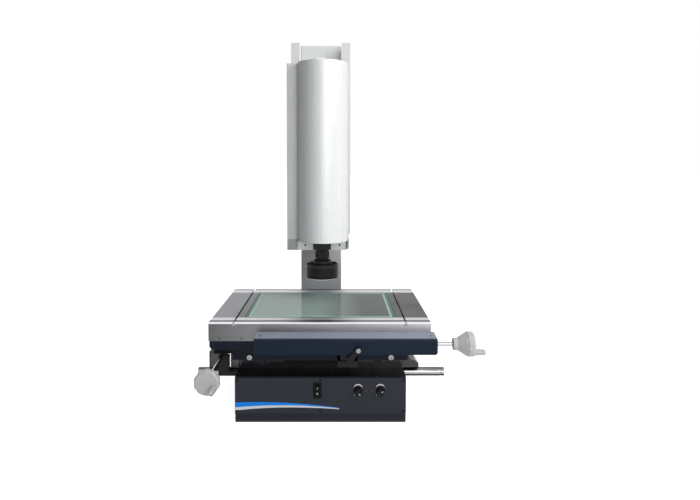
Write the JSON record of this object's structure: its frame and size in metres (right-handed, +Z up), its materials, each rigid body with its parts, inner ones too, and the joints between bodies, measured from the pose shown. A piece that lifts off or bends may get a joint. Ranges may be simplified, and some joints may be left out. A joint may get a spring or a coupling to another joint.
{
  "type": "vision measuring machine",
  "caption": "Bench vision measuring machine with a hand-driven X and Y glass stage and a motor-driven Z head with camera, zoom lens and ring light.",
  "frame": {"origin": "on the bench, on the base's underside, straight below the lens axis", "axes": "+X to the operator's right, +Y to the back, +Z up along the lens axis"},
  "size_m": [0.6669, 0.7554, 0.97],
  "materials": {
    "base_paint": "satin",
    "cover_black": "satin",
    "panel_film": "satin",
    "screw_steel": "satin",
    "switch_plastic": "gloss",
    "knob_plastic": "satin",
    "electronics": "matte",
    "lamp_plastic": "gloss",
    "zinc_sheet": "satin",
    "socket_plastic": "matte",
    "chrome": "mirror",
    "way_iron": "gloss",
    "rail_steel": "ground",
    "anodised_grey": "satin",
    "black_anodised": "satin",
    "lens_glass": "polished",
    "stage_glass": "polished",
    "saddle_iron": "satin",
    "blue_anodised": "satin",
    "brushed_table": "brushed",
    "box_paint": "satin",
    "wheel_grey": "satin",
    "handle_grey": "satin",
    "column_paint": "satin",
    "sheet_grey": "satin",
    "cover_silver": "satin",
    "frame_cast": "cast",
    "motor_black": "matte",
    "lamp_ring": "satin",
    "grip_bright": "polished"
  },
  "bodies": {
    "base": {"base_casting": "base_paint", "bottom_cover": "cover_black", "front_panel": "panel_film", "panel_screws": "screw_steel", "switch_bezel": "switch_plastic", "light_controls": "electronics", "limit_lamps": "lamp_plastic", "power_supply": "zinc_sheet", "rear_connectors": "socket_plastic", "carrying_bars": "chrome", "way_frame": "way_iron", "cap_screws": "screw_steel", "y_rails": "rail_steel", "y_scale": "anodised_grey", "contour_light": "black_anodised", "contour_lens": "lens_glass", "y_rod_bearings": "black_anodised", "column": "column_paint", "side_covers": "sheet_grey", "z_guide": "rail_steel", "z_motor": "motor_black"},
    "power_rocker": {"power_rocker": "switch_plastic"},
    "contour_knob": {"contour_knob": "knob_plastic"},
    "surface_knob": {"surface_knob": "knob_plastic"},
    "y_rod": {"y_rod": "chrome", "y_handwheel": "wheel_grey"},
    "y_crank": {"y_crank_handle": "handle_grey"},
    "saddle": {"saddle": "saddle_iron", "y_runners": "rail_steel", "x_rails": "rail_steel", "x_scale": "anodised_grey", "y_cover": "box_paint", "y_nut": "black_anodised", "x_nut": "black_anodised"},
    "lever": {"release_lever": "black_anodised", "lever_grip": "grip_bright"},
    "table": {"table_frame": "brushed_table", "stage_glass": "stage_glass", "table_fittings": "screw_steel", "sub_plate": "blue_anodised", "x_runners": "rail_steel", "x_box": "box_paint", "x_rod_bearings": "black_anodised"},
    "x_rod": {"x_rod": "chrome", "x_handwheel": "wheel_grey"},
    "x_crank": {"x_crank_handle": "handle_grey"},
    "z_screw": {"z_screw": "rail_steel"},
    "head": {"z_carriages": "rail_steel", "head_frame": "frame_cast", "head_front": "sheet_grey", "head_panels": "sheet_grey", "lens_plate": "anodised_grey", "head_screws": "screw_steel", "head_cover": "cover_silver", "lens_clamp": "black_anodised", "zoom_lens": "black_anodised", "camera": "black_anodised", "ring_light": "black_anodised", "ring_lamps": "lamp_ring"},
    "zoom_ring": {"zoom_ring": "black_anodised"}
  },
  "joints": [
    {"name": "y_slide", "type": "slide", "parent": "base", "child": "saddle", "axis": [0, 1, 0], "range_m": [-0.04, 0.16]},
    {"name": "x_slide", "type": "slide", "parent": "saddle", "child": "table", "axis": [1, 0, 0], "range_m": [-0.15, 0.15]},
    {"name": "z_slide", "type": "slide", "parent": "base", "child": "head", "axis": [0, 0, 1], "range_m": [-0.05, 0.145]},
    {"name": "y_wheel_spin", "type": "hinge", "parent": "base", "child": "y_rod", "pos_m": [-0.236, -0.2, 0.144], "axis": [0, 1, 0], "range_deg": [-602, 2402]},
    {"name": "x_wheel_spin", "type": "hinge", "parent": "table", "child": "x_rod", "pos_m": [0.2, -0.249, 0.2095], "axis": [1, 0, 0], "range_deg": [-2252, 2252]},
    {"name": "z_screw_spin", "type": "hinge", "parent": "base", "child": "z_screw", "pos_m": [-0.01, 0.253, 0.6], "axis": [0, 0, 1], "range_deg": [-1802, 5222]},
    {"name": "y_crank_spin", "type": "hinge", "parent": "y_rod", "child": "y_crank", "pos_m": [-0.22066, -0.32, 0.13365], "axis": [0, 1, 0], "continuous": true},
    {"name": "x_crank_spin", "type": "hinge", "parent": "x_rod", "child": "x_crank", "pos_m": [0.35, -0.249, 0.191], "axis": [1, 0, 0], "continuous": true},
    {"name": "lever_swing", "type": "hinge", "parent": "saddle", "child": "lever", "pos_m": [0.0664, -0.2574, 0.184], "axis": [0, 1, 0], "range_deg": [0, 25]},
    {"name": "rocker_tip", "type": "hinge", "parent": "base", "child": "power_rocker", "pos_m": [-0.007, -0.175, 0.076], "axis": [1, 0, 0], "range_deg": [-16, 0]},
    {"name": "contour_turn", "type": "hinge", "parent": "base", "child": "contour_knob", "pos_m": [0.088, -0.185, 0.075], "axis": [0, 1, 0], "range_deg": [-290, 10]},
    {"name": "surface_turn", "type": "hinge", "parent": "base", "child": "surface_knob", "pos_m": [0.14, -0.185, 0.075], "axis": [0, 1, 0], "range_deg": [-200, 100]},
    {"name": "zoom_turn", "type": "hinge", "parent": "head", "child": "zoom_ring", "pos_m": [0, 0, 0.37], "axis": [0, 0, 1], "range_deg": [-100, 100]}
  ],
  "couplings": [
    {"joint": "y_wheel_spin", "follows": "y_slide", "rad_per_m": 261.8},
    {"joint": "x_wheel_spin", "follows": "x_slide", "rad_per_m": 261.8},
    {"joint": "z_screw_spin", "follows": "z_slide", "rad_per_m": 628.32}
  ]
}
